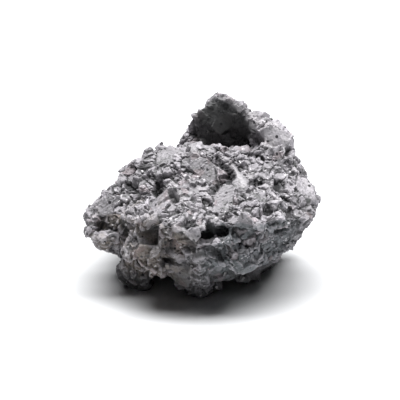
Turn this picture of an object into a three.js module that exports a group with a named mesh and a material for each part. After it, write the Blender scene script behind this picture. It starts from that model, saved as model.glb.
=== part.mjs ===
// A broken chunk of rough corundum, about 32 mm wide: a granular, opaque stone that split
// along flat fracture faces. It lies on one of them.
//
// Millimetres. +X is the chunk's right, +Y its back, +Z up. The origin is on the resting face,
// under the middle of the chunk's bounding box.
//
// The stone is written as a distance field: negative inside, positive outside, and about the
// distance to the surface in between. Blocks bounded by fracture faces are joined, lumps are
// added and hollows taken out, chips roughen the rest, and a net of quads is stretched over
// the result.

import * as THREE from 'three';
import { ImprovedNoise } from 'three/addons/math/ImprovedNoise.js';

// Driving dimensions, in millimetres.
const STONE_WIDTH = 32;
const STONE_DEPTH = 27;
const STONE_HEIGHT = 23;
const EDGE_WEAR = 0.35; // how far a broken edge is rounded
const CHIP_SIZE = 4.2; // spacing of the chips
const CHIP_DEPTH = 1.6;
const RELIEF_LENGTH = 6; // length of the long, low waves in the fracture faces
const RELIEF_HEIGHT = 0.6;
const NET_STEP = 0.9; // size of one quad of the surface net
const CELL_INSET = 0.08; // keeps the net's vertices apart
const FOOT_HEIGHT = 0.6; // the sides rise straight from the resting face up to here

// The bearing of a direction is in degrees round from +X towards +Y, its rise in degrees above
// the horizontal.
function towards(bearing, rise) {
  const around = THREE.MathUtils.degToRad(bearing);
  const up = THREE.MathUtils.degToRad(rise);
  return new THREE.Vector3(
    Math.cos(around) * Math.cos(up),
    Math.sin(around) * Math.cos(up),
    Math.sin(up),
  );
}

// A flat fracture face that looks along a bearing and a rise, and runs through a point.
function fracture(bearing, rise, x, y, z) {
  return new THREE.Plane().setFromNormalAndCoplanarPoint(
    towards(bearing, rise),
    new THREE.Vector3(x, y, z),
  );
}

// Sides and underside, which bound the whole stone. The front leans out over the foot.
const SIDE_FACES = {
  front: fracture(268, -22, -1, -13.4, 11.5),
  frontLeft: fracture(236, -19, -6.1, -10.1, 12.2),
  frontRight: fracture(297, -30, 7.6, -11.2, 12.8),
  rightUnder: fracture(335, -35, 14.3, -2, 8.7),
  rightTip: fracture(350, 5, 15.9, -1, 12),
  leftUnder: fracture(208, -44, -13.5, -5, 6.4),
  leftTip: fracture(176, 32, -15.7, -4, 9.8),
  back: fracture(92, 8, 0, 12.9, 10),
  backLeft: fracture(150, -8, -11.5, 6, 7),
  backRight: fracture(38, -4, 12, 5.5, 8),
  backUnder: fracture(88, -42, 0, 10.5, 3),
  backRightUnder: fracture(25, -48, 9.8, 5, 2.5),
  backLeftUnder: fracture(165, -42, -10.4, 5, 3),
};

// The broad sloping table, and where it breaks off behind its lip.
const TABLE_FACES = {
  table: fracture(275, 67, 0, -6, 15.3),
  tableLeft: fracture(225, 60, -9.5, -5, 12.9),
  tableRight: fracture(330, 50, 11.8, 4, 17.3),
  lipBack: fracture(92, 48, -5, 2.2, 18.6),
  backLeftTop: fracture(149, 32, -9.4, 0.3, 16.8),
  backRightTop: fracture(18, 29, 12.4, 1.5, 13.9),
};

// The peak that stands behind the table.
const PEAK_FACES = {
  front: fracture(264, 8, 1, 6.4, 20),
  left: fracture(151, 22, -1.3, 6.4, 19.5),
  right: fracture(40, 55, 2.1, 6.8, 23.5),
  farRight: fracture(14, 16, 11, 5, 15.5),
  backRight: fracture(38, 35, 8, 7.2, 18.6),
  back: fracture(94, 48, 1.5, 9.2, 22.6),
};

// The shoulder at the right end of the peak.
const SHOULDER_FACES = {
  top: fracture(330, 51, 11.8, 4, 17.3),
  left: fracture(208, 8, 7.4, 3.6, 19),
  right: fracture(15, 28, 11.8, 4, 16.7),
  back: fracture(70, 50, 9.4, 5.6, 18.9),
};

// Angular lumps and hollows: where the middle is, how far it reaches along X, Y and Z, and a
// number that sets how its faces are knocked askew.
const LUMPS = {
  leftKnob: crag([-13.2, -4.4, 8.6], [3.3, 2.8, 2.1], 1),
  leftFoot: crag([-8.1, -3.6, 3], [1.6, 2, 5.2], 2),
  leftBoss: crag([-6.2, -8.4, 7.5], [4, 3, 3.1], 3),
  keelFoot: crag([0.1, -7, 1.6], [1.4, 1.4, 2.8], 4),
  rightBoss: crag([4.9, -9.2, 8.3], [3.4, 2.6, 2.6], 13),
  rightFoot: crag([5.6, -3.6, 2], [2.6, 2.2, 2.4], 9),
};
const HOLLOWS = {
  underLedge: crag([1.8, -13.5, 11.9], [2.9, 2.3, 0.95], 6),
  ledgeEnd: crag([4.4, -12.6, 12.3], [2.6, 2.1, 0.9], 12),
  rightScoop: crag([10, -12.4, 5], [4.8, 4.4, 4.4], 7),
  leftGroove: crag([-3.2, -12.6, 9], [1.3, 2.4, 4.4], 8),
  leftPocket: crag([-14.8, -7.6, 10.2], [2.6, 2.2, 0.9], 11),
  leftArch: crag([-4.7, -5.8, 0.4], [2.8, 3.2, 2.9], 5),
  rightArch: crag([3, -4.4, 0], [2.4, 2.2, 2], 10),
};

// Flat faces spread evenly round a point on a spiral, each knocked a little askew.
function crag(at, reach, seed) {
  const FACE_COUNT = 14;
  const SPIRAL_TURN = 137.5;
  const faces = [];
  for (let i = 0; i < FACE_COUNT; i++) {
    const rise = THREE.MathUtils.radToDeg(Math.asin(1 - (2 * (i + 0.5)) / FACE_COUNT));
    const knock = 28 * (cellRandom(seed, i, 0) - 0.5);
    const looks = towards(SPIRAL_TURN * i + seed * 40 + knock, rise + knock);
    faces.push(new THREE.Plane(looks, -(0.84 + 0.2 * cellRandom(seed, i, 1))));
  }
  return { at: new THREE.Vector3(...at), reach: new THREE.Vector3(...reach), faces };
}

function cragDistance({ at, reach, faces }, point) {
  const scaled = point.clone().sub(at).divide(reach);
  return blockDistance(faces, scaled, 0.1) * Math.min(reach.x, reach.y, reach.z);
}

// The greater of two distances, with the crease between them rounded over a width.
function roundedMax(a, b, width) {
  const overlap = Math.max(width - Math.abs(a - b), 0) / width;
  return Math.max(a, b) + (overlap * overlap * width) / 4;
}

const roundedMin = (a, b, width) => -roundedMax(-a, -b, width);

function blockDistance(faces, point, wear) {
  return Object.values(faces).reduce(
    (distance, face) => roundedMax(distance, face.distanceToPoint(point), wear),
    -100,
  );
}

// A number from 0 to 1 that is always the same for the same three whole numbers.
function cellRandom(i, j, k) {
  let mixed = Math.imul(i, 374761393) ^ Math.imul(j, 668265263) ^ Math.imul(k, 1274126177);
  mixed = Math.imul(mixed ^ (mixed >>> 13), 1103515245);
  mixed ^= mixed >>> 16;
  return (mixed >>> 0) / 4294967296;
}

// Corundum parts along its base and along three rhombohedral planes, which are turned 120
// degrees from each other and lean 57.6 degrees from the base. The table is a basal parting.
const PARTING_LEAN = THREE.MathUtils.degToRad(57.6);
const BASE = TABLE_FACES.table.normal;
const RHOMBOHEDRAL = [0, 1, 2].map((turn) => BASE.clone()
  .applyAxisAngle(new THREE.Vector3(1, 0, 0), PARTING_LEAN)
  .applyAxisAngle(BASE, 0.4 + (turn * 2 * Math.PI) / 3));

// Chips: shallow angular pits round scattered points, which meet in ridges. Their walls are
// rhombohedral partings.
function chipDepth(point) {
  const home = point.clone().divideScalar(CHIP_SIZE).floor();
  const away = new THREE.Vector3();
  let nearest = 2;
  for (let i = home.x - 1; i <= home.x + 1; i++) {
    for (let j = home.y - 1; j <= home.y + 1; j++) {
      for (let k = home.z - 1; k <= home.z + 1; k++) {
        away.set(
          i + cellRandom(i + 1, j, k),
          j + cellRandom(i, j + 1, k),
          k + cellRandom(i, j, k + 1),
        );
        away.addScaledVector(point, -1 / CHIP_SIZE);
        const span = Math.max(...RHOMBOHEDRAL.map((looks) => Math.abs(looks.dot(away))));
        nearest = Math.min(nearest, span);
      }
    }
  }
  return CHIP_DEPTH * (0.5 - nearest);
}

const noise = new ImprovedNoise();

function reliefHeight(point) {
  const { x, y, z } = point.clone().divideScalar(RELIEF_LENGTH);
  return RELIEF_HEIGHT * noise.noise(x + 3.1, y + 5.27, z - 3.1);
}

function stoneDistance(place) {
  const point = place.clone().setZ(Math.max(place.z, FOOT_HEIGHT));
  let distance = blockDistance(TABLE_FACES, point, EDGE_WEAR);
  distance = roundedMin(distance, blockDistance(PEAK_FACES, point, EDGE_WEAR), 0.5);
  distance = roundedMin(distance, blockDistance(SHOULDER_FACES, point, EDGE_WEAR), 0.5);
  distance = roundedMax(distance, blockDistance(SIDE_FACES, point, EDGE_WEAR), EDGE_WEAR);
  for (const lump of Object.values(LUMPS)) {
    distance = roundedMin(distance, cragDistance(lump, point), 1.4);
  }
  for (const hollow of Object.values(HOLLOWS)) {
    distance = roundedMax(distance, -cragDistance(hollow, point), 0.5);
  }
  distance += chipDepth(point) - reliefHeight(point);
  return Math.max(distance, -place.z);
}

// The corners of a grid cell, and the pairs of them that a grid edge joins.
const CORNERS = [0, 1, 2, 3, 4, 5, 6, 7].map((c) => new THREE.Vector3(c & 1, (c >> 1) & 1, c >> 2));
const EDGES = CORNERS.flatMap((corner, from) => CORNERS
  .map((other, to) => [from, to])
  .filter(([, to]) => from < to && corner.manhattanDistanceTo(CORNERS[to]) === 1));

// Where the stone is thinner than the grid can tell, two sheets of its surface would touch in
// an edge or a corner. Those places are filled up until none is left.
function fillThinPlaces(values, stride, cells) {
  const inside = (index) => values[index] <= 0;
  const fill = (index) => {
    values[index] = Math.min(values[index], -0.01);
  };
  let filled = true;
  while (filled) {
    filled = false;
    for (const base of cells) {
      for (let axis = 0; axis < 3; axis++) {
        const u = stride[(axis + 1) % 3];
        const v = stride[(axis + 2) % 3];
        const crossed = inside(base) === inside(base + u + v)
          && inside(base + u) === inside(base + v)
          && inside(base) !== inside(base + u);
        if (!crossed) continue;
        [base, base + u, base + v, base + u + v].forEach(fill);
        filled = true;
      }
      const corners = CORNERS.map((c) => base + c.x * stride[0] + c.y * stride[1] + c.z * stride[2]);
      const insideCount = corners.filter(inside).length;
      const pinched = [0, 1, 2, 3].some((c) => inside(corners[c]) === inside(corners[7 - c])
        && insideCount === (inside(corners[c]) ? 2 : 6));
      if (!pinched) continue;
      corners.forEach(fill);
      filled = true;
    }
  }
}

// Surface net: one vertex in each cell that the surface passes through, and one quad across
// each grid edge that it cuts. A quad is split along its shorter diagonal.
function surfaceNet(distanceAt, low, high, step) {
  const size = high.clone().sub(low).divideScalar(step).ceil().addScalar(1);
  const stride = [1, size.x, size.x * size.y];
  const values = new Float64Array(size.x * size.y * size.z);
  const places = [];
  for (let k = 0; k < size.z; k++) {
    for (let j = 0; j < size.y; j++) {
      for (let i = 0; i < size.x; i++) {
        const place = new THREE.Vector3(i, j, k);
        values[places.length] = distanceAt(place.clone().multiplyScalar(step).add(low));
        places.push(place);
      }
    }
  }
  const lastCell = size.clone().subScalar(2);
  const cells = [...places.keys()].filter((index) => {
    const place = places[index];
    return place.x <= lastCell.x && place.y <= lastCell.y && place.z <= lastCell.z;
  });
  fillThinPlaces(values, stride, cells);

  const cellVertex = new Int32Array(values.length).fill(-1);
  const positions = [];
  for (const base of cells) {
    const at = CORNERS.map((c) => values[base + c.x * stride[0] + c.y * stride[1] + c.z * stride[2]]);
    const cutEdges = EDGES.filter(([from, to]) => (at[from] > 0) !== (at[to] > 0));
    if (cutEdges.length === 0) continue;
    const crossings = cutEdges.map(([from, to]) => CORNERS[from].clone()
      .lerp(CORNERS[to], at[from] / (at[from] - at[to]))
      .add(places[base])
      .multiplyScalar(step)
      .add(low));
    const cell = new THREE.Box3();
    cell.min.copy(places[base]).multiplyScalar(step).add(low);
    cell.max.copy(cell.min).addScalar(step);
    cellVertex[base] = positions.length / 3;
    positions.push(...sharpVertex(distanceAt, crossings, cell).toArray());
  }

  const span = (a, b) => new THREE.Vector3().fromArray(positions, 3 * a)
    .distanceTo(new THREE.Vector3().fromArray(positions, 3 * b));
  const triangles = [];
  for (const base of cells) {
    for (let axis = 0; axis < 3; axis++) {
      const inside = values[base] <= 0;
      if (inside === (values[base + stride[axis]] <= 0)) continue;
      const u = stride[(axis + 1) % 3];
      const v = stride[(axis + 2) % 3];
      const quad = [base, base - u, base - u - v, base - v].map((cell) => cellVertex[cell]);
      if (!inside) quad.reverse();
      if (span(quad[0], quad[2]) > span(quad[1], quad[3])) quad.push(quad.shift());
      triangles.push(quad[0], quad[1], quad[2], quad[0], quad[2], quad[3]);
    }
  }
  return { positions, triangles };
}

function outwardNormal(distanceAt, point) {
  const REACH = 0.05;
  const slope = (x, y, z) => {
    const offset = new THREE.Vector3(x, y, z).multiplyScalar(REACH);
    return distanceAt(point.clone().add(offset)) - distanceAt(point.clone().sub(offset));
  };
  return new THREE.Vector3(slope(1, 0, 0), slope(0, 1, 0), slope(0, 0, 1)).normalize();
}

// The point of a cell that lies best on the surface's tangent planes at all the crossings, so
// that edges and corners between faces stay sharp.
function sharpVertex(distanceAt, crossings, cell) {
  const PASSES = 12;
  const tangents = crossings.map((crossing) => new THREE.Plane().setFromNormalAndCoplanarPoint(
    outwardNormal(distanceAt, crossing),
    crossing,
  ));
  const vertex = new THREE.Vector3();
  crossings.forEach((crossing) => vertex.addScaledVector(crossing, 1 / crossings.length));
  for (let pass = 0; pass < PASSES; pass++) {
    const pull = new THREE.Vector3();
    tangents.forEach((plane) => {
      pull.addScaledVector(plane.normal, -plane.distanceToPoint(vertex) / tangents.length);
    });
    vertex.add(pull);
  }
  cell.expandByScalar(-CELL_INSET);
  vertex.clamp(cell.min, cell.max);
  if (cell.min.z < 0) vertex.z = 0;
  return vertex;
}

// The grid has a level at the top of the foot, so the foot is one row of cells.
const MARGIN = 3;
const net = surfaceNet(
  stoneDistance,
  new THREE.Vector3(
    -STONE_WIDTH / 2 - MARGIN,
    -STONE_DEPTH / 2 - MARGIN,
    FOOT_HEIGHT - 2 * NET_STEP,
  ),
  new THREE.Vector3(STONE_WIDTH / 2 + MARGIN, STONE_DEPTH / 2 + MARGIN, STONE_HEIGHT + MARGIN),
  NET_STEP,
);

const surface = new THREE.BufferGeometry();
surface.setAttribute('position', new THREE.Float32BufferAttribute(net.positions, 3));
surface.setIndex(net.triangles);
surface.computeBoundingBox();
const middle = surface.boundingBox.getCenter(new THREE.Vector3());
surface.translate(-middle.x, -middle.y, 0);
surface.computeVertexNormals();

const stone = new THREE.Mesh(
  surface,
  new THREE.MeshStandardMaterial({ color: 0x6b686c, roughness: 0.85, metalness: 0 }),
);
stone.name = 'corundum_chunk';

const chunk = new THREE.Group();
chunk.name = 'rough_corundum';
chunk.add(stone);

export default chunk;
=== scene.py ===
"""Rough corundum chunk: a granular grey stone of angular broken faces on a pale floor."""

import math

import bmesh
import bpy
from bpy.props import FloatProperty, FloatVectorProperty, IntProperty, PointerProperty
from mathutils import Matrix, Vector


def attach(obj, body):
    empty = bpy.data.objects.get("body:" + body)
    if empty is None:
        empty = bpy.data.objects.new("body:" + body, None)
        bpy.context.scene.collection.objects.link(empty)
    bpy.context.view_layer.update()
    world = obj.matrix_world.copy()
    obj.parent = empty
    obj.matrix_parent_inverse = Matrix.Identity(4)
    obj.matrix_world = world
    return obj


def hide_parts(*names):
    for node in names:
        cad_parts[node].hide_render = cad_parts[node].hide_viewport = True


bl_info = {
    "name": "Rough Corundum Chunk",
    "version": (1, 0, 0),
    "blender": (4, 5, 0),
    "location": "View3D > Sidebar > Corundum",
    "description": "Builds a rough corundum chunk with a granular broken surface",
    "category": "Object",
}

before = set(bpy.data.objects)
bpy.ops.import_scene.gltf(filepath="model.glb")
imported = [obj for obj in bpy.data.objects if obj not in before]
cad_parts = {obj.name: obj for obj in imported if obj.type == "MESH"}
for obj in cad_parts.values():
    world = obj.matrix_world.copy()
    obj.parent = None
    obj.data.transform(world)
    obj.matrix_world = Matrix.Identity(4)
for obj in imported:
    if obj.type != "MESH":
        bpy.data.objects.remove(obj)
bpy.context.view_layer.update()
STONE_NODE = "corundum_chunk"
BODY = "root"
MILLIMETRE = 0.001
CORUNDUM_IOR = 1.77
LEAST_STONE_TRIANGLES = 20000
CRYSTAL_TRIANGLES = (2000, 100000)

# Middle of the range of a random vector or of a noise's colour.
MIDDLE = (0.5, 0.5, 0.5)

# The broken faces that carry a colour of their own, as a centre and a reach in metres: the hollow is painted
# dark, a painted shade, the shoulder pale, a painted highlight, and the flanks carry stains and tints.
SHADED_HOLLOW = ((0.0028, 0.0056, 0.0190), 0.0054)
HIGHLIT_SHOULDER = ((0.0092, 0.0026, 0.0186), 0.0046)
BROWN_FLANK = ((-0.0085, -0.0100, 0.0085), 0.0098)
GREEN_FLANK = ((0.0068, -0.0105, 0.0080), 0.0090)
ZONE_CORE = 0.55

# The way the flat table on top looks, and the point round which the right flank's fracture ribs run.
TABLE_NORMAL = Vector((0.03, -0.39, 0.92)).normalized()
RIB_CENTRE = (0.0052, -0.0125, 0.0098)

# How far each seed shifts the pattern of grains.
SEED_SHIFT = (0.0171, 0.0093, 0.0137)

# Rounds of blurring: for the way a face looks, for thin needles, and for crests and dips.
FACING_BLUR, NEEDLE_BLUR, CREST_BLUR = 8, 2, 5

# Sizes of the surface's patterns and limits of its moves.
BEND_SIZE = 1.7 * MILLIMETRE
CREVICE_PATCH = 1.3 * MILLIMETRE
COARSE_PATCH = 5.5 * MILLIMETRE
MARK_WANDER = 0.45 * MILLIMETRE
FLAT_LIMIT = 0.7 * MILLIMETRE
SETTLED_HEIGHT = 0.9 * MILLIMETRE
SHARP_ANGLE = math.radians(38)
MARK_CORE = 0.3

# Sizes of the finish's patterns.
SPECKLE_SIZE = 0.32 * MILLIMETRE
TONE_PATCH = 2.6 * MILLIMETRE
STAIN_SIZE = 3.0 * MILLIMETRE
INCLUSION_SIZE = 0.85 * MILLIMETRE
ORE_SIZE = 0.62 * MILLIMETRE
FLAKE_SIZE = 0.30 * MILLIMETRE
PARTING_STEP = 0.34 * MILLIMETRE
RIB_STEP = 1.1 * MILLIMETRE
FINE_BUMP = 0.12 * MILLIMETRE
# The colour painted on glinting flakes: a painted highlight.
PAINTED_GLINT = (0.72, 0.70, 0.72)
# Heights at which the painted shade towards the floor begins and where it is full.
FOOT_SHADE_TOP, FOOT_SHADE_FULL = 5.0 * MILLIMETRE, 0.5 * MILLIMETRE

# The scattered crystals: where they begin above the floor, their patches, and how their corners are knocked.
CLEAR_FROM, CLEAR_TO = 0.8 * MILLIMETRE, 1.8 * MILLIMETRE
CRYSTAL_PATCH = 3.4 * MILLIMETRE
KNOCK_SIZE = 0.55 * MILLIMETRE
KNOCK = 0.34 * MILLIMETRE
CRYSTAL_SPECKLE = 0.26 * MILLIMETRE

# The stage: where the lamp hangs, its width and depth, what it and the camera look at, and the light around.
LAMP_PLACE = (0.03, 0.12, 0.58)
LAMP_SIZE = (0.85, 0.28)
LAMP_AIM = (0.0, 0.0, 0.010)
CAMERA_AIM = (-0.0004, 0.0, 0.0105)
SENSOR_WIDTH = 36.0
SURROUND = 0.01

# Cracks, pits, rubbed edges, pale streaks and swellings, with painted shade in the pits, the hollow and the
# slot under the ledge, and painted highlights on the hollow's rims, the shoulder and the left end: the two
# ends of each, its half width, how deep it is cut (below zero it stands out), and its tone from -1, black, to
# 1, pale. A tone of 0 leaves the colour alone. All lengths in metres, and depths add up where marks overlap.
MARKS = (
    # Hollow floor, painted dark: painted shade.
    ((-0.0030, 0.0017, 0.0182), (0.0015, 0.0015, 0.0188), 0.00096, 0.00010, -0.95),
    ((0.0015, 0.0015, 0.0188), (0.0062, 0.0053, 0.0166), 0.00096, 0.00010, -0.95),
    # The table's lip in front of the hollow, cut down.
    ((-0.0031, 0.0022, 0.0181), (0.0060, 0.0022, 0.0181), 0.00220, 0.00150, 0.00),
    # Pits and cracks of the table, cut in; the pits are painted dark, a painted shade.
    ((-0.0061, -0.0042, 0.0141), (-0.0058, -0.0041, 0.0144), 0.00114, 0.00060, -0.95),
    ((-0.0099, -0.0023, 0.0137), (-0.0095, -0.0023, 0.0138), 0.00102, 0.00050, -0.80),
    ((-0.0080, -0.0005, 0.0154), (-0.0076, -0.0005, 0.0156), 0.00102, 0.00050, -0.90),
    ((0.0014, -0.0058, 0.0152), (0.0016, -0.0052, 0.0155), 0.00102, 0.00070, -0.95),
    ((0.0020, -0.0046, 0.0157), (0.0038, -0.0035, 0.0157), 0.00072, 0.00050, -0.90),
    ((0.0065, -0.0046, 0.0156), (0.0075, -0.0041, 0.0156), 0.00078, 0.00045, -0.85),
    ((0.0101, -0.0038, 0.0150), (0.0106, -0.0035, 0.0150), 0.00102, 0.00045, -0.85),
    ((0.0109, -0.0058, 0.0140), (0.0112, -0.0058, 0.0138), 0.00084, 0.00040, -0.80),
    ((0.0083, -0.0082, 0.0136), (0.0086, -0.0083, 0.0135), 0.00084, 0.00040, -0.80),
    ((-0.0040, -0.0068, 0.0146), (-0.0037, -0.0076, 0.0147), 0.00078, 0.00040, -0.80),
    ((-0.0018, -0.0118, 0.0133), (-0.0015, -0.0120, 0.0131), 0.00084, 0.00040, -0.80),
    ((0.0019, -0.0012, 0.0170), (0.0040, -0.0031, 0.0160), 0.00060, 0.00030, -0.70),
    ((0.0047, -0.0057, 0.0152), (0.0054, -0.0072, 0.0151), 0.00060, 0.00020, -0.60),
    # Slot under the ledge, painted dark: painted shade under the ledge.
    ((-0.0004, -0.0114, 0.0114), (0.0009, -0.0101, 0.0108), 0.00072, 0.00030, -0.70),
    ((0.0024, -0.0109, 0.0119), (0.0032, -0.0122, 0.0127), 0.00096, 0.00045, -0.80),
    ((0.0044, -0.0117, 0.0117), (0.0076, -0.0108, 0.0113), 0.00096, 0.00025, -0.45),
    ((0.0005, -0.0129, 0.0102), (0.0023, -0.0126, 0.0087), 0.00090, 0.00040, -0.80),
    # Dark pits and patches of the left flank: the pits are cut in, and they and the patches under the table's
    # rim and round the left knob are painted dark, a painted shade.
    ((-0.0047, -0.0120, 0.0129), (-0.0031, -0.0131, 0.0122), 0.00072, 0.00030, -0.70),
    ((-0.0073, -0.0099, 0.0110), (-0.0058, -0.0108, 0.0112), 0.00072, 0.00010, -0.40),
    ((-0.0042, -0.0103, 0.0093), (-0.0043, -0.0103, 0.0081), 0.00084, 0.00020, -0.50),
    ((-0.0016, -0.0130, 0.0107), (-0.0018, -0.0119, 0.0095), 0.00096, 0.00030, -0.65),
    ((-0.0050, -0.0108, 0.0064), (-0.0046, -0.0107, 0.0064), 0.00096, 0.00030, -0.70),
    ((-0.0023, -0.0109, 0.0065), (-0.0022, -0.0109, 0.0061), 0.00084, 0.00020, -0.60),
    ((-0.0136, -0.0056, 0.0097), (-0.0119, -0.0064, 0.0095), 0.00108, 0.00000, -0.30),
    ((-0.0113, -0.0063, 0.0097), (-0.0063, -0.0107, 0.0115), 0.00192, 0.00000, -0.35),
    # Dark pits of the right end, cut in and painted dark: painted shade.
    ((0.0118, -0.0078, 0.0119), (0.0121, -0.0077, 0.0114), 0.00156, 0.00010, -0.50),
    ((0.0100, -0.0084, 0.0103), (0.0104, -0.0076, 0.0095), 0.00120, 0.00030, -0.60),
    ((0.0091, -0.0104, 0.0128), (0.0094, -0.0102, 0.0125), 0.00084, 0.00030, -0.60),
    # Pale rims of the hollow: painted highlights along its edges.
    ((-0.0033, -0.0002, 0.0177), (0.0002, -0.0004, 0.0178), 0.00078, -0.00010, 0.60),
    ((0.0029, 0.0061, 0.0229), (0.0058, 0.0053, 0.0209), 0.00065, 0.00000, 0.50),
    # Pale patches of the shoulder: painted highlights.
    ((0.0062, 0.0051, 0.0206), (0.0073, 0.0043, 0.0201), 0.00091, 0.00000, 0.80),
    ((0.0083, 0.0036, 0.0197), (0.0092, 0.0037, 0.0193), 0.00117, 0.00000, 1.00),
    ((0.0085, 0.0016, 0.0184), (0.0091, 0.0019, 0.0184), 0.00130, 0.00000, 0.70),
    ((0.0104, 0.0031, 0.0182), (0.0111, 0.0018, 0.0167), 0.00078, 0.00000, 0.70),
    # Streaks and flecks of the table.
    ((0.0023, -0.0009, 0.0177), (0.0035, -0.0020, 0.0169), 0.00065, -0.00010, 0.60),
    ((0.0035, -0.0020, 0.0169), (0.0054, -0.0049, 0.0155), 0.00065, -0.00010, 0.70),
    ((-0.0024, -0.0035, 0.0159), (-0.0022, -0.0037, 0.0159), 0.00098, -0.00010, 0.95),
    ((-0.0043, -0.0035, 0.0152), (-0.0026, -0.0080, 0.0147), 0.00072, -0.00010, 0.60),
    ((-0.0007, -0.0050, 0.0156), (0.0007, -0.0064, 0.0149), 0.00065, -0.00010, 0.50),
    ((0.0059, -0.0031, 0.0164), (0.0062, -0.0033, 0.0163), 0.00091, -0.00010, 0.70),
    ((0.0085, -0.0049, 0.0154), (0.0088, -0.0049, 0.0154), 0.00091, -0.00010, 0.70),
    ((0.0096, -0.0066, 0.0143), (0.0098, -0.0067, 0.0142), 0.00091, -0.00010, 0.80),
    ((0.0104, -0.0080, 0.0131), (0.0108, -0.0076, 0.0127), 0.00117, -0.00010, 0.70),
    # Rubbed edges of the table and its ledge, pale flecks of the left flank, and a painted highlight on the
    # lower rim of the left end.
    ((0.0123, 0.0007, 0.0154), (0.0143, -0.0020, 0.0132), 0.00065, 0.00000, 0.60),
    ((-0.0104, -0.0063, 0.0123), (-0.0087, -0.0087, 0.0124), 0.00078, -0.00010, 0.60),
    ((-0.0087, -0.0087, 0.0124), (-0.0066, -0.0100, 0.0130), 0.00078, -0.00010, 0.50),
    ((-0.0052, -0.0107, 0.0134), (-0.0033, -0.0129, 0.0131), 0.00065, -0.00015, 0.60),
    ((-0.0033, -0.0129, 0.0131), (-0.0013, -0.0129, 0.0119), 0.00065, -0.00015, 0.60),
    ((-0.0004, -0.0120, 0.0130), (0.0020, -0.0111, 0.0125), 0.00078, -0.00010, 0.50),
    ((-0.0142, -0.0067, 0.0084), (-0.0122, -0.0077, 0.0087), 0.00078, -0.00010, 0.50),
    ((-0.0040, -0.0104, 0.0078), (-0.0038, -0.0104, 0.0076), 0.00072, -0.00010, 0.90),
    ((-0.0064, -0.0114, 0.0082), (-0.0055, -0.0105, 0.0097), 0.00078, -0.00005, 0.40),
    # Swellings: the left foot, the underside of the left end and the back of the shoulder.
    ((-0.0092, -0.0058, 0.0039), (-0.0088, -0.0053, 0.0010), 0.00300, -0.00110, 0.00),
    ((-0.0142, -0.0063, 0.0088), (-0.0121, -0.0034, 0.0055), 0.00195, -0.00050, 0.00),
    ((0.0074, 0.0048, 0.0199), (0.0106, 0.0036, 0.0181), 0.00270, -0.00065, 0.00),
    # Rubbed ribs of the right flank.
    ((0.0021, -0.0096, 0.0051), (0.0050, -0.0112, 0.0058), 0.00065, -0.00010, 0.35),
    ((0.0050, -0.0112, 0.0058), (0.0074, -0.0093, 0.0067), 0.00065, -0.00010, 0.35),
    ((0.0074, -0.0093, 0.0067), (0.0084, -0.0075, 0.0081), 0.00065, -0.00010, 0.35),
    ((0.0035, -0.0121, 0.0088), (0.0059, -0.0115, 0.0092), 0.00065, -0.00010, 0.35),
)


# ---------------------------------------------------------------- node trees


def is_vector(side):
    """True for a wire or a tuple that holds three numbers."""
    if isinstance(side, Wire):
        return side.socket.type in {"VECTOR", "RGBA"}
    return isinstance(side, (tuple, Vector))


class Wire:
    """An output socket of a node, on which Python's arithmetic adds the nodes that it needs."""

    def __init__(self, bench, socket):
        self.bench = bench
        self.socket = socket

    def out(self, name):
        """Another output of the same node."""
        return Wire(self.bench, find_socket(self.socket.node.outputs, name))

    def _vector(self, operation, *row, **named):
        return self.bench.node("ShaderNodeVectorMath", {"operation": operation}, *row, **named)

    def _join(self, operation, left, right):
        vectors = is_vector(left), is_vector(right)
        if not any(vectors):
            return self.bench.node("ShaderNodeMath", {"operation": operation}, left, right)
        if operation == "MULTIPLY" and not all(vectors):
            vector, number = (left, right) if vectors[0] else (right, left)
            return self._vector("SCALE", vector, Scale=number)
        return self._vector(operation, left, right)

    def __add__(self, other):
        return self._join("ADD", self, other)

    def __radd__(self, other):
        return self._join("ADD", other, self)

    def __sub__(self, other):
        return self._join("SUBTRACT", self, other)

    def __rsub__(self, other):
        return self._join("SUBTRACT", other, self)

    def __mul__(self, other):
        return self._join("MULTIPLY", self, other)

    def __rmul__(self, other):
        return self._join("MULTIPLY", other, self)

    def __truediv__(self, other):
        return self._join("DIVIDE", self, other)

    def __rtruediv__(self, other):
        return self._join("DIVIDE", other, self)

    def most(self, other):
        """The larger of two values."""
        return self._join("MAXIMUM", self, other)

    def least(self, other):
        """The smaller of two values."""
        return self._join("MINIMUM", self, other)

    def above(self, level):
        """1 where the value is over the level, else 0."""
        return self._join("GREATER_THAN", self, level)

    def below(self, level):
        """1 where the value is under the level, else 0."""
        return self._join("LESS_THAN", self, level)

    def dot(self, other):
        """The dot product of two vectors."""
        return self._vector("DOT_PRODUCT", self, other).out("Value")

    def length(self):
        """The length of a vector."""
        return self._vector("LENGTH", self).out("Value")

    def unit(self):
        """The vector at a length of one."""
        return self._vector("NORMALIZE", self)

    def axis(self, name):
        """One number of a vector: X, Y or Z."""
        return self.bench.node("ShaderNodeSeparateXYZ", None, self).out(name)

    def step(self, low, high, bottom=0.0, top=1.0):
        """A soft step from bottom to top as the value goes from low to high."""
        inputs = {"Value": self, "From Min": low, "From Max": high, "To Min": bottom, "To Max": top}
        return self.bench.node("ShaderNodeMapRange", {"interpolation_type": "SMOOTHSTEP"}, **inputs)


def find_socket(sockets, key):
    """The usable socket of that name, or at that place in the row."""
    usable = [socket for socket in sockets if socket.enabled]
    if isinstance(key, int):
        return usable[key]
    for socket in usable:
        if socket.name == key:
            return socket
    raise KeyError(f"{sockets[0].node.bl_idname} has no socket {key!r}")


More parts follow.
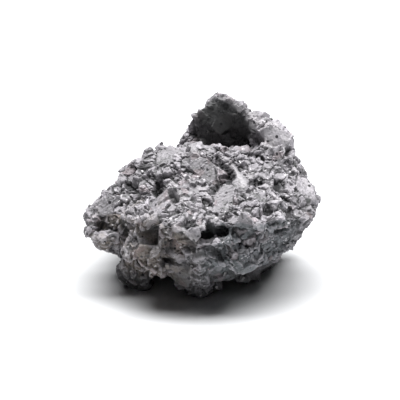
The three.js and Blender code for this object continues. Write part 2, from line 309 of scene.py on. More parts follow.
class Bench:
    """A node tree being built."""

    def __init__(self, tree):
        self.tree = tree

    def node(self, kind, settings=None, *row, **named):
        """Adds a node from its settings and the values or wires of its inputs, and gives its first output."""
        made = self.tree.nodes.new(kind)
        for name, value in (settings or {}).items():
            if name == "stops":
                self._set_stops(made.color_ramp.elements, value)
            else:
                setattr(made, name, value)
        for key, value in [*enumerate(row), *named.items()]:
            self.feed(find_socket(made.inputs, key), value)
        usable = [socket for socket in made.outputs if socket.enabled]
        return Wire(self, usable[0]) if usable else made

    def feed(self, socket, value):
        """Links a wire to an input, or sets its value."""
        if isinstance(value, Wire):
            self.tree.links.new(value.socket, socket)
        elif socket.type == "RGBA" and len(tuple(value)) == 3:
            socket.default_value = (*value, 1.0)
        elif socket.type in {"VECTOR", "RGBA"} and not hasattr(value, "__len__"):
            socket.default_value = (value,) * len(socket.default_value)
        else:
            socket.default_value = value

    @staticmethod
    def _set_stops(elements, stops):
        while len(elements) < len(stops):
            elements.new(0.5)
        for element, (place, colour) in zip(elements, stops):
            element.position = place
            element.color = (*colour, 1.0)

    def cells(self, place, size, feature="F1"):
        """A Voronoi pattern, whose cells stand for crystal grains of that size."""
        return self.node("ShaderNodeTexVoronoi", {"feature": feature}, Vector=place, Scale=1.0 / size)

    def noise(self, place, size, detail=3.0, roughness=0.55):
        """A soft noise from 0 to 1, with waves of that size."""
        inputs = {"Scale": 1.0 / size, "Detail": detail, "Roughness": roughness}
        return self.node("ShaderNodeTexNoise", None, Vector=place, **inputs)

    def waves(self, distance, step):
        """A sine wave along a distance, with one crest for each step."""
        return self.node("ShaderNodeMath", {"operation": "SINE"}, distance * (2 * math.pi / step))

    def blend(self, factor, first, second):
        """One colour laid over another."""
        settings = {"data_type": "RGBA", "clamp_factor": True}
        return self.node("ShaderNodeMix", settings, Factor=factor, A=first, B=second)

    def ramp(self, value, stops):
        """A colour picked from a row of stops."""
        return self.node("ShaderNodeValToRGB", {"stops": stops}, value)

    def blur(self, value, rounds):
        """A vector of the mesh's points, blurred with that of their neighbours."""
        settings = {"data_type": "FLOAT_VECTOR"}
        return self.node("GeometryNodeBlurAttribute", settings, Value=value, Iterations=rounds)

    def store(self, geometry, name, value, kind="FLOAT_VECTOR", domain="POINT"):
        """Stores a value on a geometry, for another tree or the finish to read."""
        settings = {"data_type": kind, "domain": domain}
        inputs = {"Geometry": geometry, "Name": name, "Value": value}
        return self.node("GeometryNodeStoreNamedAttribute", settings, **inputs)

    def stored(self, name):
        """A vector stored on the geometry before."""
        return self.node("GeometryNodeInputNamedAttribute", {"data_type": "FLOAT_VECTOR"}, Name=name)


# ---------------------------------------------------------------- settings


def length(name, description, default, high=1.0):
    """A property that holds a length in metres."""
    return FloatProperty(
        name=name, description=description, default=default, min=0.0, max=high,
        unit="LENGTH", subtype="DISTANCE", precision=5,
    )


def colour(name, description, default):
    """A property that holds a colour."""
    return FloatVectorProperty(
        name=name, description=description, default=default, size=3, min=0.0, max=1.0, subtype="COLOR",
    )


def share(name, description, default, high=1.0):
    """A property that holds a plain number from 0 upwards."""
    return FloatProperty(name=name, description=description, default=default, min=0.0, max=high)


class SurfaceSettings(bpy.types.PropertyGroup):
    """Sizes of the broken, granular surface."""

    net_step: length("Net Step", "Distance between neighbouring points of the surface", 0.19 * MILLIMETRE)
    block_size: length("Block Size", "Width of a large crystal or a cluster of grains", 2.5 * MILLIMETRE)
    block_relief: length("Block Relief", "Height difference between blocks", 0.42 * MILLIMETRE)
    single_share: share("Single Share", "Share of blocks that are one large crystal with a flat face", 0.25)
    grain_size: length("Grain Size", "Width of one crystal grain", 1.25 * MILLIMETRE)
    grain_relief: length("Grain Relief", "Height difference between grains", 0.24 * MILLIMETRE)
    fine_size: length("Fine Size", "Width of the smallest grains", 0.46 * MILLIMETRE)
    fine_relief: length("Fine Relief", "Height difference between the smallest grains", 0.07 * MILLIMETRE)
    facet_tilt: share("Facet Tilt", "Slope of the broken facet on each grain", 0.62, 3.0)
    plucked_share: share("Plucked Share", "Share of grains that have fallen out", 0.06)
    pluck_depth: length("Pluck Depth", "Depth of the hole that a fallen grain leaves", 0.45 * MILLIMETRE)
    crevice_depth: length("Crevice Depth", "Depth of the gaps between grains", 0.34 * MILLIMETRE)
    warp: length("Warp", "How far the grains' outlines wander", 0.14 * MILLIMETRE)
    needle: length("Needle", "How far a point may stand out from its neighbours", 0.13 * MILLIMETRE)
    seed: IntProperty(name="Seed", description="Picks another arrangement of grains", default=5, min=0)


class CrystalSettings(bpy.types.PropertyGroup):
    """Sizes of the loose crystal grains that stand out of the surface."""

    spacing: length("Spacing", "Least distance between two crystals", 1.15 * MILLIMETRE)
    density: FloatProperty(
        name="Density", description="Crystals per square metre before the spacing thins them out",
        default=1.6e6, min=0.0, max=1e8,
    )
    smallest: length("Smallest", "Half length of the smallest crystal", 0.26 * MILLIMETRE)
    largest: length("Largest", "Half length of the largest crystal", 0.62 * MILLIMETRE)
    sunk: length("Sunk", "How deep a crystal's middle lies under the surface", 0.20 * MILLIMETRE)
    seed: IntProperty(name="Seed", description="Picks another arrangement of crystals", default=11, min=0)


class ColourSettings(bpy.types.PropertyGroup):
    """Colours of the stone."""

    pale_grain: colour("Pale Grain", "Lilac-grey grains that catch the light", (0.445, 0.424, 0.455))
    mid_grain: colour("Mid Grain", "The usual grey grain", (0.258, 0.247, 0.264))
    dark_grain: colour("Dark Grain", "Dark green-grey grains", (0.090, 0.092, 0.091))
    # Also the colour of the painted shade in holes, pits, the hollow, the slot and towards the floor.
    ore_black_and_shade: colour("Black Speck", "Specks of iron ore", (0.018, 0.018, 0.02))
    brown_stain: colour("Brown Stain", "Iron stain on the left flank", (0.17, 0.13, 0.09))
    green_tint: colour("Green Tint", "Cool tint on the right flank and in the hollow", (0.115, 0.145, 0.155))
    pink_tint: colour("Pink Tint", "Rosy tint of some grains", (0.36, 0.26, 0.27))
    # Also the colour of the painted highlights on the shoulder, the hollow's rims and the left end.
    pale_edge_and_highlight: colour("Fresh Edge", "Rubbed edges and pale streaks", (0.52, 0.50, 0.52))


class StageSettings(bpy.types.PropertyGroup):
    """Floor, lamp and camera."""

    floor_size: length("Floor Size", "Width of the floor", 0.84, high=50.0)
    floor_colour: colour("Floor Colour", "Colour of the floor", (0.74, 0.748, 0.76))
    camera_distance: length("Camera Distance", "From the camera to the stone", 0.55, high=10.0)
    camera_elevation: FloatProperty(
        name="Camera Elevation", description="Angle of the camera above the horizon",
        default=math.radians(28), subtype="ANGLE", unit="ROTATION",
    )
    frame_width: length("Frame Width", "Width of the view at the stone", 53.8 * MILLIMETRE)
    overhead_power: FloatProperty(
        name="Overhead Power", description="Power of the large lamp above the stone",
        default=10.7, min=0.0, unit="POWER",
    )


# ---------------------------------------------------------------- stone surface


def merged_copy(node, name):
    """A copy of a CAD node whose loose triangles are joined into one closed skin."""
    mesh = bpy.data.meshes.new(name)
    skin = bmesh.new()
    skin.from_mesh(node.data)
    bmesh.ops.remove_doubles(skin, verts=skin.verts, dist=1e-7)
    for edge in skin.edges:
        if len(edge.link_faces) != 2:
            raise RuntimeError("the stone's skin isn't closed")
    skin.to_mesh(mesh)
    skin.free()
    mesh.materials.clear()
    piece = bpy.data.objects.new(name, mesh)
    bpy.context.scene.collection.objects.link(piece)
    return piece


def settle(piece):
    """Turns what the modifiers make into the piece's own mesh, and removes them."""
    depsgraph = bpy.context.evaluated_depsgraph_get()
    mesh = bpy.data.meshes.new_from_object(
        piece.evaluated_get(depsgraph), preserve_all_data_layers=True, depsgraph=depsgraph
    )
    mesh.name = piece.name
    piece.modifiers.clear()
    piece.data = mesh
    return mesh


def new_tree(name, inputs):
    """A Geometry Nodes tree that takes those numbers, beside a geometry, a seed and a material."""
    tree = bpy.data.node_groups.new(name, "GeometryNodeTree")
    kinds = {"Geometry": "NodeSocketGeometry", "Seed": "NodeSocketInt", "Material": "NodeSocketMaterial"}
    for socket in ("Geometry", *inputs, "Seed", "Material"):
        kind = kinds.get(socket, "NodeSocketFloat")
        tree.interface.new_socket(socket, in_out="INPUT", socket_type=kind)
    tree.interface.new_socket("Geometry", in_out="OUTPUT", socket_type="NodeSocketGeometry")
    return tree


def dress_with(piece, tree, settings, material):
    """Adds the tree to a piece as a modifier, whose inputs are the settings of the same names."""
    modifier = piece.modifiers.new(tree.name, "NODES")
    modifier.node_group = tree
    for item in tree.interface.items_tree:
        if item.in_out != "INPUT" or item.name == "Geometry":
            continue
        if item.name == "Material":
            modifier[item.identifier] = material
        else:
            modifier[item.identifier] = getattr(settings, item.name.lower().replace(" ", "_"))


def near(bench, place, zone):
    """1 at the middle of a zone of the stone, 0 beyond its reach."""
    centre, reach = zone
    return (place - centre).length().step(reach, reach * ZONE_CORE)


def table_share(facing, low=0.74):
    """1 on faces that look the table's way, 0 on the others."""
    return facing.dot(TABLE_NORMAL).step(low, 0.93)


def hollow_share(bench, place, facing):
    """1 on the faces of the hollow that look forward."""
    return near(bench, place, SHADED_HOLLOW) * facing.axis("Y").step(-0.25, -0.7)


def crevices(bench, grain_place, size):
    """1 in the gaps between grains: hairlines in some places, wide and deep in others."""
    edge = bench.cells(grain_place, size, "DISTANCE_TO_EDGE")
    width = bench.noise(grain_place, CREVICE_PATCH, 2.0).step(0.46, 0.66, 0.05, 0.30)
    return bench.node(
        "ShaderNodeMapRange", {"interpolation_type": "SMOOTHSTEP"},
        Value=edge, **{"From Min": width, "From Max": width * 0.25, "To Min": 0.0, "To Max": 1.0},
    )


def single_crystals(blocks, share_of_all):
    """1 on the blocks that are one large crystal, 0 on those that are a mass of small grains."""
    return blocks.out("Color").axis("Y").above(1.0 - share_of_all)


def mark_shares(bench, place):
    """All marks at a place: how dark, how pale, and how deep in metres."""
    dark, pale, depth = 0.0, 0.0, 0.0
    for start, end, half_width, cut, tone in MARKS:
        start, end = Vector(start), Vector(end)
        along = end - start
        rest = place - start
        share = (rest.dot(along) * (1.0 / along.length_squared)).most(0.0).least(1.0)
        mark = (rest - share * along).length().step(half_width, half_width * MARK_CORE)
        depth = mark * cut + depth
        if tone < 0.0:
            dark = (mark * -tone).most(dark)
        else:
            pale = (mark * tone).most(pale)
    return bench.node("ShaderNodeCombineXYZ", None, dark, pale, depth)


def surface_tree():
    """The tree that breaks a smooth skin up into tilted grains, clusters and holes."""
    tree = new_tree("broken_surface", (
        "Block Size", "Block Relief", "Single Share", "Grain Size", "Grain Relief",
        "Fine Size", "Fine Relief", "Facet Tilt", "Plucked Share", "Pluck Depth", "Crevice Depth",
        "Warp", "Needle",
    ))
    bench = Bench(tree)
    given = bench.node("NodeGroupInput")
    place = bench.node("GeometryNodeInputPosition")
    normal = bench.blur(bench.node("GeometryNodeInputNormal"), FACING_BLUR).unit()

    # Grain coordinates: the place, shifted by the seed and bent a little so that outlines wander.
    bend = bench.noise(place, BEND_SIZE, 2.0).out("Color") - MIDDLE
    shift = given.out("Seed") * SEED_SHIFT
    grain_place = place + shift + bend * (given.out("Warp") * 2.0)

    # Zones: the flat table on top is the most granular, the lower flanks are smoother.
    table = table_share(normal)
    hollow = hollow_share(bench, place, normal)
    green = near(bench, place, GREEN_FLANK) * (1.0 - table)
    patch = bench.noise(place, COARSE_PATCH, 2.0).step(0.38, 0.62)
    coarse = (1.15 - table * 0.15) * (1.0 - hollow * 0.60) * (1.0 - green * 0.20) * (0.80 + patch * 0.30)

    skin = bench.store(given.out("Geometry"), "grain_place", grain_place)
    skin = bench.store(skin, "facing", normal)
    skin = bench.store(skin, "marks", mark_shares(bench, place + bend * MARK_WANDER))
    stored_normal = bench.stored("facing")

    def slope(cells, relief):
        """How far a cell's own level and the slope of its face lift a place."""
        lot = cells.out("Color")
        lean = (lot - MIDDLE).dot(grain_place - cells.out("Position")) * given.out("Facet Tilt")
        return (lot.axis("Z") - 0.5) * relief + lean

    def flatness(cells):
        """How far a place must move to lie on the plane that touches the skin nearest the cell's middle."""
        middle = cells.out("Position") - shift
        touch = bench.node(
            "GeometryNodeProximity", {"target_element": "FACES"}, skin, **{"Sample Position": middle}
        ).out("Position")
        looks = bench.node(
            "GeometryNodeSampleNearestSurface", {"data_type": "FLOAT_VECTOR"},
            Mesh=skin, Value=stored_normal, **{"Sample Position": middle},
        ).unit()
        facing_on = looks.dot(normal)
        rise = (touch - place).dot(looks) / facing_on.most(0.3)
        return rise.most(-FLAT_LIMIT).least(FLAT_LIMIT) * facing_on.step(0.45, 0.8)

    blocks = bench.cells(grain_place, given.out("Block Size"))
    grains = bench.cells(grain_place, given.out("Grain Size"))
    fines = bench.cells(grain_place, given.out("Fine Size"))
    single = single_crystals(blocks, given.out("Single Share"))
    massed = 1.0 - single
    height = slope(blocks, given.out("Block Relief")) + slope(grains, given.out("Grain Relief")) * massed
    height = height + slope(fines, given.out("Fine Relief")) * (0.40 + massed * 0.60)
    gap = crevices(bench, grain_place, given.out("Grain Size")) * massed
    height = height - gap * given.out("Crevice Depth") * (0.45 + table * 0.55)

    # A grain that has fallen out leaves a hole with the grain's own outline.
    lot = grains.out("Color").axis("X")
    plucked = lot.above(1.0 - given.out("Plucked Share") * (0.35 + table * 0.65)) * massed
    inside = bench.cells(grain_place, given.out("Grain Size"), "DISTANCE_TO_EDGE").step(0.0, 0.16)
    hole = plucked * inside
    height = height - hole * given.out("Pluck Depth")

    # The foot stays nearly smooth and above the floor, so that the stone rests as the solid does.
    settled = place.axis("Z").step(0.0, SETTLED_HEIGHT)
    height = height * coarse + flatness(blocks) * single + flatness(grains) * massed
    height = height * (0.25 + settled * 0.75)
    height = height - bench.stored("marks").axis("Z")
    moved = place + normal * height
    kept = bench.node(
        "ShaderNodeCombineXYZ", None, moved.axis("X"), moved.axis("Y"), moved.axis("Z").most(0.0)
    )

    skin = bench.store(skin, "hole_share", hole, "FLOAT")
    skin = bench.node("GeometryNodeSetPosition", None, Geometry=skin, Position=kept)

    # Thin needles are knocked off: no point stands far out from its neighbours.
    place_now = bench.node("GeometryNodeInputPosition")
    around = bench.blur(place_now, NEEDLE_BLUR)
    away = place_now - around
    cut = around + away * (given.out("Needle") / away.length().most(given.out("Needle")))
    skin = bench.node("GeometryNodeSetPosition", None, Geometry=skin, Position=cut)

    # Crests and dips of the finished surface, against its own blurred shape.
    place_now = bench.node("GeometryNodeInputPosition")
    rise = (place_now - bench.blur(place_now, CREST_BLUR)).dot(normal)
    skin = bench.store(skin, "crest", rise * (1 / MILLIMETRE), "FLOAT")
    skin = bench.node("GeometryNodeTriangulate", {"quad_method": "SHORTEST_DIAGONAL"}, Mesh=skin)
    smooth = {"Shade Smooth": bench.node("GeometryNodeInputMeshEdgeAngle").below(SHARP_ANGLE)}
    skin = bench.node("GeometryNodeSetShadeSmooth", {"domain": "EDGE"}, Geometry=skin, **smooth)
    skin = bench.node("GeometryNodeRealizeInstances", None, Geometry=skin)
    skin = bench.node("GeometryNodeSetMaterial", None, Geometry=skin, Material=given.out("Material"))
    bench.node("NodeGroupOutput", None, Geometry=skin)
    return tree


def empty_tree(owner):
    """A bench for the cleared node tree of a material or a world."""
    owner.use_nodes = True
    owner.node_tree.nodes.clear()
    return Bench(owner.node_tree)


def dimmed(tint, share_kept):
    """A colour with only that share of its light."""
    return tuple(part * share_kept for part in tint)


def stone_material(surface, colours):
    """Grey granular corundum: pale, mid and dark grains, black specks, stains and worn crests, with painted
    shade in hollows, pits and underneath, and painted highlights.
    """
    material = bpy.data.materials.new("granular_corundum")
    bench = empty_tree(material)

    def kept(name, output="Fac"):
        return bench.node("ShaderNodeAttribute", {"attribute_name": name}).out(output)

    grain_place = kept("grain_place", "Vector")
    place = bench.node("ShaderNodeTexCoord").out("Object")
    facing, hole, crest = kept("facing", "Vector"), kept("hole_share"), kept("crest")
    table = table_share(facing)
    hollow = hollow_share(bench, place, facing)
    shoulder = near(bench, place, HIGHLIT_SHOULDER) * facing.axis("Z").step(0.2, 0.6)

    # Grains: each cell takes one tone, and the cells are those of the shape.
    blocks = bench.cells(grain_place, surface.block_size)
    grains = bench.cells(grain_place, surface.grain_size)
    fines = bench.cells(grain_place, surface.fine_size)
    single = single_crystals(blocks, surface.single_share)
    massed = 1.0 - single
    lot = grains.out("Color").axis("Y")
    fine_lot = fines.out("Color").axis("Y")
    speckle = bench.noise(place, SPECKLE_SIZE, 3.0, 0.65)
    patch = bench.noise(place, TONE_PATCH, 2.0)
    grainy = lot * 0.40 + fine_lot * 0.32 + speckle * 0.28
    whole = blocks.out("Color").axis("X") * 0.30 + fine_lot * 0.16 + speckle - 0.26
    tone = grainy * massed + whole * single + (patch - 0.5) * (1.0 - table * 0.60)
    pale, mid, dark = colours.pale_grain, colours.mid_grain, colours.dark_grain
    base = bench.ramp(tone, [(0.22, dark), (0.42, mid), (0.58, mid), (0.74, pale)])

    # Gaps between grains hold dust and shade.
    gap = crevices(bench, grain_place, surface.grain_size) * massed
    base = bench.blend(gap * (0.25 + table * 0.35), base, dimmed(dark, 0.5))

    # Faces that turn downwards are painted darker, a painted shade on the flanks and undersides; the shoulder
    # is painted pale, a painted highlight, and the table is a little paler.
    base = bench.blend(facing.axis("Z").step(0.65, -0.35) * 0.50, base, dimmed(dark, 0.55))
    base = bench.blend((shoulder * (0.80 - table * 0.60)).most(table * 0.12), base, pale)

    # Tints of the flanks.
    brown = near(bench, place, BROWN_FLANK) * (1.0 - table)
    green = near(bench, place, GREEN_FLANK) * (1.0 - table)
    drift = bench.noise(place, STAIN_SIZE).step(0.30, 0.62)
    base = bench.blend(brown * drift * 0.55, base, colours.brown_stain)
    base = bench.blend(green * 0.45, base, colours.green_tint)
    rosy = grains.out("Color").axis("Z").above(0.90)
    base = bench.blend(rosy * 0.25, base, colours.pink_tint)
    # The hollow is painted dark: painted shade.
    base = bench.blend(hollow * 0.90, base, dimmed(dark, 0.65))

    # Crests are rubbed pale, and dips are painted dark: painted shade in the dips.
    base = bench.blend(crest.step(0.02, 0.14) * (0.08 + massed * 0.38) * (1.0 - hollow), base, pale)
    base = bench.blend(crest.step(-0.02, -0.16) * 0.65, base, dark)

    # Dark minerals fill irregular spots between the grains.
    inclusion = bench.noise(grain_place, INCLUSION_SIZE, 4.0, 0.7).step(0.575, 0.64)
    base = bench.blend(inclusion * (0.72 - table * 0.20), base, dimmed(dark, 0.6))
    # Holes left by fallen grains are painted nearly black: painted shade.
    base = bench.blend(hole * 0.65, base, colours.ore_black_and_shade)

    # Marks: rubbed edges and streaks are pale, and so are the painted highlights; cracks are dark, and so is
    # the painted shade in pits, the hollow and the slot.
    marks = kept("marks", "Vector")
    base = bench.blend(marks.axis("Y") * (0.35 + speckle * 0.80), base, colours.pale_edge_and_highlight)
    base = bench.blend(marks.axis("X") * (0.65 + speckle * 0.75), base, colours.ore_black_and_shade)

    # The lowest part is painted darker towards the floor: painted shade where the stone meets the floor.
    foot = place.axis("Z").step(FOOT_SHADE_TOP, FOOT_SHADE_FULL)
    base = bench.blend(foot * 0.65, base, colours.ore_black_and_shade)

    # Specks of iron ore, and small bright cleavage faces whose glint is painted into the colour: painted
    # highlights.
    ore = bench.cells(place, ORE_SIZE)
    specks = ore.out("Color").axis("X").above(0.90) * ore.out("Distance").step(0.42, 0.30)
    base = bench.blend(specks * 0.9, base, colours.ore_black_and_shade)
    flakes = bench.cells(place, FLAKE_SIZE)
    glint = flakes.out("Color").axis("X").above(0.975) * (1.0 - hollow) * massed
    base = bench.blend(glint * 0.6, base, PAINTED_GLINT)

    roughness = 0.80 - fine_lot * 0.12 - glint * 0.45 - specks * 0.3 - single * speckle * 0.35

    # Parting lines run straight across some of the grains.
    lean = (blocks.out("Color") - MIDDLE).unit()
    lines = bench.waves(lean.dot(grain_place), PARTING_STEP)
    relief = speckle * 0.6 + bench.noise(place, FINE_BUMP, 2.0) * 0.30
    relief = relief + fines.out("Distance") * (0.20 + massed * 0.15) + lines * single * 0.15

    # A shell-shaped fracture leaves faint ribs round one point of the right flank.
    ribs = bench.waves((place - RIB_CENTRE).length(), RIB_STEP)
    relief = relief + ribs * green * 0.5
    bump = bench.node("ShaderNodeBump", None, Strength=0.55, Distance=0.08 * MILLIMETRE, Height=relief)

    skin = bench.node(
        "ShaderNodeBsdfPrincipled", None, Roughness=roughness, IOR=CORUNDUM_IOR, Normal=bump,
        **{"Base Color": base, "Specular IOR Level": 0.25},
    )
    bench.node("ShaderNodeOutputMaterial", None, Surface=skin)
    return material


class CORUNDUM_OT_stone(bpy.types.Operator):
    """Makes the stone: the CAD shape on a fine net, broken up into grains"""

    bl_idname = "corundum.make_stone"
    bl_label = "Make Stone"

    def execute(self, context):
        surface = context.scene.corundum_surface
        piece = merged_copy(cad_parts[STONE_NODE], "corundum_stone")
        net = piece.modifiers.new("net", "REMESH")
        net.mode = "VOXEL"
        net.voxel_size = surface.net_step
        material = stone_material(surface, context.scene.corundum_colours)
        dress_with(piece, surface_tree(), surface, material)
        mesh = settle(piece)
        if len(mesh.polygons) < LEAST_STONE_TRIANGLES:
            raise RuntimeError("the stone's surface wasn't made")
        print("stone triangles:", len(mesh.polygons), "vertices:", len(mesh.vertices))
        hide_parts(STONE_NODE)
        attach(piece, BODY)
        return {"FINISHED"}


# ---------------------------------------------------------------- crystal grains


def crystal_tree():
    """The tree that sets small broken crystals into the surface, half sunk and turned at random."""
    tree = new_tree("scattered_crystals", ("Spacing", "Density", "Smallest", "Largest", "Sunk"))
    bench = Bench(tree)
    given = bench.node("NodeGroupInput")
    seed = given.out("Seed")

    def chance(low, high, number, kind="FLOAT"):
        """A random number or vector for each crystal."""
        settings = {"data_type": kind}
        return bench.node("FunctionNodeRandomValue", settings, Min=low, Max=high, Seed=seed + number)

    # More crystals stand out on the table and the upper faces than on the flanks, in loose patches.
    place = bench.node("GeometryNodeInputPosition")
    facing = bench.stored("facing")
    table = table_share(facing, 0.70)
    hollow = hollow_share(bench, place, facing)
    clear = place.axis("Z").step(CLEAR_FROM, CLEAR_TO)
    patch = bench.noise(place, CRYSTAL_PATCH, 2.0).step(0.36, 0.62)
    unmarked = 1.0 - bench.stored("marks").axis("X")
    wanted = (0.25 + table * 0.75) * (1.0 - hollow) * clear * (0.25 + patch * 0.75) * unmarked * unmarked
    spread = {
        "Distance Min": given.out("Spacing"), "Density Max": given.out("Density"), "Density Factor": wanted,
    }
    spots = bench.node(
        "GeometryNodeDistributePointsOnFaces", {"distribute_method": "POISSON"},
        Mesh=given.out("Geometry"), Seed=seed, **spread,
    )
    spots = bench.store(spots, "looks", facing)
    sunk = facing * (given.out("Sunk") * -1.0)
    spots = bench.node("GeometryNodeSetPosition", None, Geometry=spots, Offset=sunk)

    # Three shapes of grain: a parting block, a longer splinter and a short six-sided prism.
    block = bench.node("GeometryNodeMeshCube", None, Size=(1.5, 1.4, 1.3))
    splinter = bench.node("GeometryNodeMeshCube", None, Size=(2.1, 1.1, 0.8))
    prism = bench.node("GeometryNodeMeshCylinder", {"fill_type": "NGON"}, Vertices=6, Radius=0.80, Depth=1.5)
    shapes = bench.node("GeometryNodeGeometryToInstance")
    for shape in (block, splinter, prism):
        bench.feed(shapes.socket.node.inputs[0], shape)
    size = chance(given.out("Smallest"), given.out("Largest"), 1)
    stretch = chance((0.7, 0.5, 0.45), (1.1, 0.9, 0.8), 2, "FLOAT_VECTOR")
    turn = chance((0.0, 0.0, 0.0), (2 * math.pi,) * 3, 3, "FLOAT_VECTOR")
    grains = bench.node(
        "GeometryNodeInstanceOnPoints", None, Points=spots, Instance=shapes,
        Rotation=turn, Scale=stretch * size, **{"Pick Instance": True},
    )
    lot = chance((0.0, 0.0, 0.0), (1.0, 1.0, 1.0), 4, "FLOAT_VECTOR")
    grains = bench.store(grains, "lot", lot, domain="INSTANCE")
    grains = bench.node("GeometryNodeRealizeInstances", None, Geometry=grains)

    # Corners are knocked about, so that no two crystals are alike.
    place_now = bench.node("GeometryNodeInputPosition")
    knock = bench.noise(place_now, KNOCK_SIZE, 1.0).out("Color") - MIDDLE
    grains = bench.node("GeometryNodeSetPosition", None, Geometry=grains, Offset=knock * KNOCK)
    grains = bench.node("GeometryNodeTriangulate", None, Mesh=grains)
    flat = {"Shade Smooth": False}
    grains = bench.node("GeometryNodeSetShadeSmooth", {"domain": "FACE"}, Geometry=grains, **flat)
    grains = bench.node("GeometryNodeSetMaterial", None, Geometry=grains, Material=given.out("Material"))
    bench.node("NodeGroupOutput", None, Geometry=grains)
    return tree


def crystal_material(colours):
    """Facets of single crystals: each one has its own tone, with fine wear, a little gloss, and painted shade
    on faces that turn downwards.
    """
    material = bpy.data.materials.new("crystal_facets")
    bench = empty_tree(material)
    lot = bench.node("ShaderNodeAttribute", {"attribute_name": "lot"}).out("Vector")
    looks = bench.node("ShaderNodeAttribute", {"attribute_name": "looks"}).out("Vector")
    place = bench.node("ShaderNodeTexCoord").out("Object")
    pale, mid, dark = colours.pale_grain, colours.mid_grain, colours.dark_grain
    speckle = bench.noise(place, CRYSTAL_SPECKLE, 3.0, 0.65)
    tone = lot.axis("X") * 0.7 + speckle * 0.3
    base = bench.ramp(tone, [(0.12, dark), (0.34, mid), (0.60, mid), (0.88, pale)])
    # Faces that turn downwards are painted darker: painted shade.
    base = bench.blend(looks.axis("Z").step(0.65, -0.35) * 0.5, base, dimmed(dark, 0.55))
    brown = near(bench, place, BROWN_FLANK) * looks.axis("Z").step(0.8, 0.4)
    base = bench.blend(brown * 0.45, base, colours.brown_stain)
    base = bench.blend(lot.axis("Y").above(0.90) * 0.3, base, colours.pink_tint)
    roughness = 0.72 - lot.axis("Z").above(0.72) * 0.34 - speckle * 0.12
    bump = bench.node("ShaderNodeBump", None, Strength=0.35, Distance=0.05 * MILLIMETRE, Height=speckle)
    facet = bench.node(
        "ShaderNodeBsdfPrincipled", None, Roughness=roughness, IOR=CORUNDUM_IOR, Normal=bump,
        **{"Base Color": base},
    )
    bench.node("ShaderNodeOutputMaterial", None, Surface=facet)
    return material


class CORUNDUM_OT_crystals(bpy.types.Operator):
    """Sets small broken crystals into the stone's surface"""

    bl_idname = "corundum.make_crystals"
    bl_label = "Make Crystals"

    def execute(self, context):
        crystals = context.scene.corundum_crystals
        stone = bpy.data.objects.get("corundum_stone")
        if stone is None:
            raise RuntimeError("make the stone first")
        piece = bpy.data.objects.new("crystal_grains", stone.data.copy())
        context.scene.collection.objects.link(piece)
        dress_with(piece, crystal_tree(), crystals, crystal_material(context.scene.corundum_colours))
        mesh = settle(piece)
        print("crystal triangles:", len(mesh.polygons))
        fewest, most = CRYSTAL_TRIANGLES
        if not fewest < len(mesh.polygons) < most:
            raise RuntimeError("the crystals weren't scattered as they should be")
        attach(piece, BODY)
        return {"FINISHED"}


# ---------------------------------------------------------------- stage


def floor_material(tint):
    """Plain matt white board."""
    material = bpy.data.materials.new("pale_floor")
    bench = empty_tree(material)
    board = bench.node("ShaderNodeBsdfPrincipled", None, Roughness=0.9, **{"Base Color": tint})
    bench.node("ShaderNodeOutputMaterial", None, Surface=board)
    return material


def add_lamp(power):
    """A soft rectangular lamp above the stone that looks down at it, with its width level along X."""
    data = bpy.data.lights.new("overhead_lamp", "AREA")
    data.shape, data.energy = "RECTANGLE", power
    data.size, data.size_y = LAMP_SIZE
    lamp = bpy.data.objects.new("overhead_lamp", data)
    lamp.location = LAMP_PLACE
    back = (Vector(LAMP_PLACE) - Vector(LAMP_AIM)).normalized()
    across = Vector((back.z, 0.0, -back.x)).normalized()
    lamp.rotation_euler = Matrix((across, back.cross(across), back)).transposed().to_euler()
    bpy.context.scene.collection.objects.link(lamp)


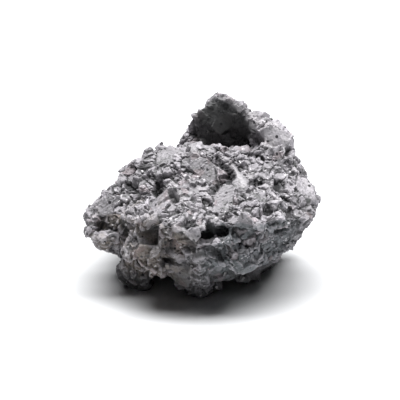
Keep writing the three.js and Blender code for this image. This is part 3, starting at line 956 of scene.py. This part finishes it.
class CORUNDUM_OT_stage(bpy.types.Operator):
    """Makes the floor, the lamp, the surrounding light and the camera"""

    bl_idname = "corundum.make_stage"
    bl_label = "Make Stage"

    def execute(self, context):
        stage = context.scene.corundum_stage
        half = stage.floor_size / 2
        mesh = bpy.data.meshes.new("floor")
        corners = [(-half, -half, 0), (half, -half, 0), (half, half, 0), (-half, half, 0)]
        mesh.from_pydata(corners, [], [(0, 1, 2, 3)])
        floor = bpy.data.objects.new("floor", mesh)
        mesh.materials.append(floor_material(stage.floor_colour))
        context.scene.collection.objects.link(floor)

        add_lamp(stage.overhead_power)

        # The camera sees a white surround, of which little light falls on the stone.
        world = bpy.data.worlds.new("studio")
        bench = empty_tree(world)
        seen = bench.node("ShaderNodeLightPath").out("Is Camera Ray")
        strength = SURROUND + seen * (1.0 - SURROUND)
        light = bench.node("ShaderNodeBackground", None, Color=(1.0, 1.0, 1.0), Strength=strength)
        bench.node("ShaderNodeOutputWorld", None, Surface=light)
        context.scene.world = world
        context.scene.view_settings.view_transform = "Standard"

        data = bpy.data.cameras.new("camera")
        data.sensor_width = SENSOR_WIDTH
        data.lens = SENSOR_WIDTH * stage.camera_distance / stage.frame_width
        data.clip_start, data.clip_end = 0.01, 20.0
        camera = bpy.data.objects.new("camera", data)
        rise = stage.camera_elevation
        back = Vector((0.0, -math.cos(rise), math.sin(rise)))
        camera.location = Vector(CAMERA_AIM) + back * stage.camera_distance
        camera.rotation_euler = (-back).to_track_quat("-Z", "Y").to_euler()
        context.scene.collection.objects.link(camera)
        context.scene.camera = camera
        return {"FINISHED"}


# ---------------------------------------------------------------- add-on


class CORUNDUM_PT_panel(bpy.types.Panel):
    """Lists the stone's sizes and colours, and its operators"""

    bl_label = "Rough Corundum"
    bl_idname = "CORUNDUM_PT_panel"
    bl_space_type = "VIEW_3D"
    bl_region_type = "UI"
    bl_category = "Corundum"

    def draw(self, context):
        for group in SETTINGS:
            box = self.layout.box()
            settings = getattr(context.scene, group)
            for name in settings.__annotations__:
                box.prop(settings, name)
        for operator in OPERATORS:
            self.layout.operator(operator.bl_idname)


SETTINGS = {
    "corundum_surface": SurfaceSettings,
    "corundum_crystals": CrystalSettings,
    "corundum_colours": ColourSettings,
    "corundum_stage": StageSettings,
}
OPERATORS = (CORUNDUM_OT_stone, CORUNDUM_OT_crystals, CORUNDUM_OT_stage)
CLASSES = (*SETTINGS.values(), *OPERATORS, CORUNDUM_PT_panel)


def register():
    """Registers the classes and hangs the settings on the scene."""
    for cls in CLASSES:
        bpy.utils.register_class(cls)
    for name, settings in SETTINGS.items():
        setattr(bpy.types.Scene, name, PointerProperty(type=settings))


def unregister():
    """Takes the settings and the classes away again."""
    for name in SETTINGS:
        delattr(bpy.types.Scene, name)
    for cls in reversed(CLASSES):
        bpy.utils.unregister_class(cls)


def main():
    """Makes every piece in order and writes how large the result is."""
    register()
    bpy.ops.corundum.make_stone()
    bpy.ops.corundum.make_crystals()
    bpy.ops.corundum.make_stage()


if __name__ == "__main__":
    main()
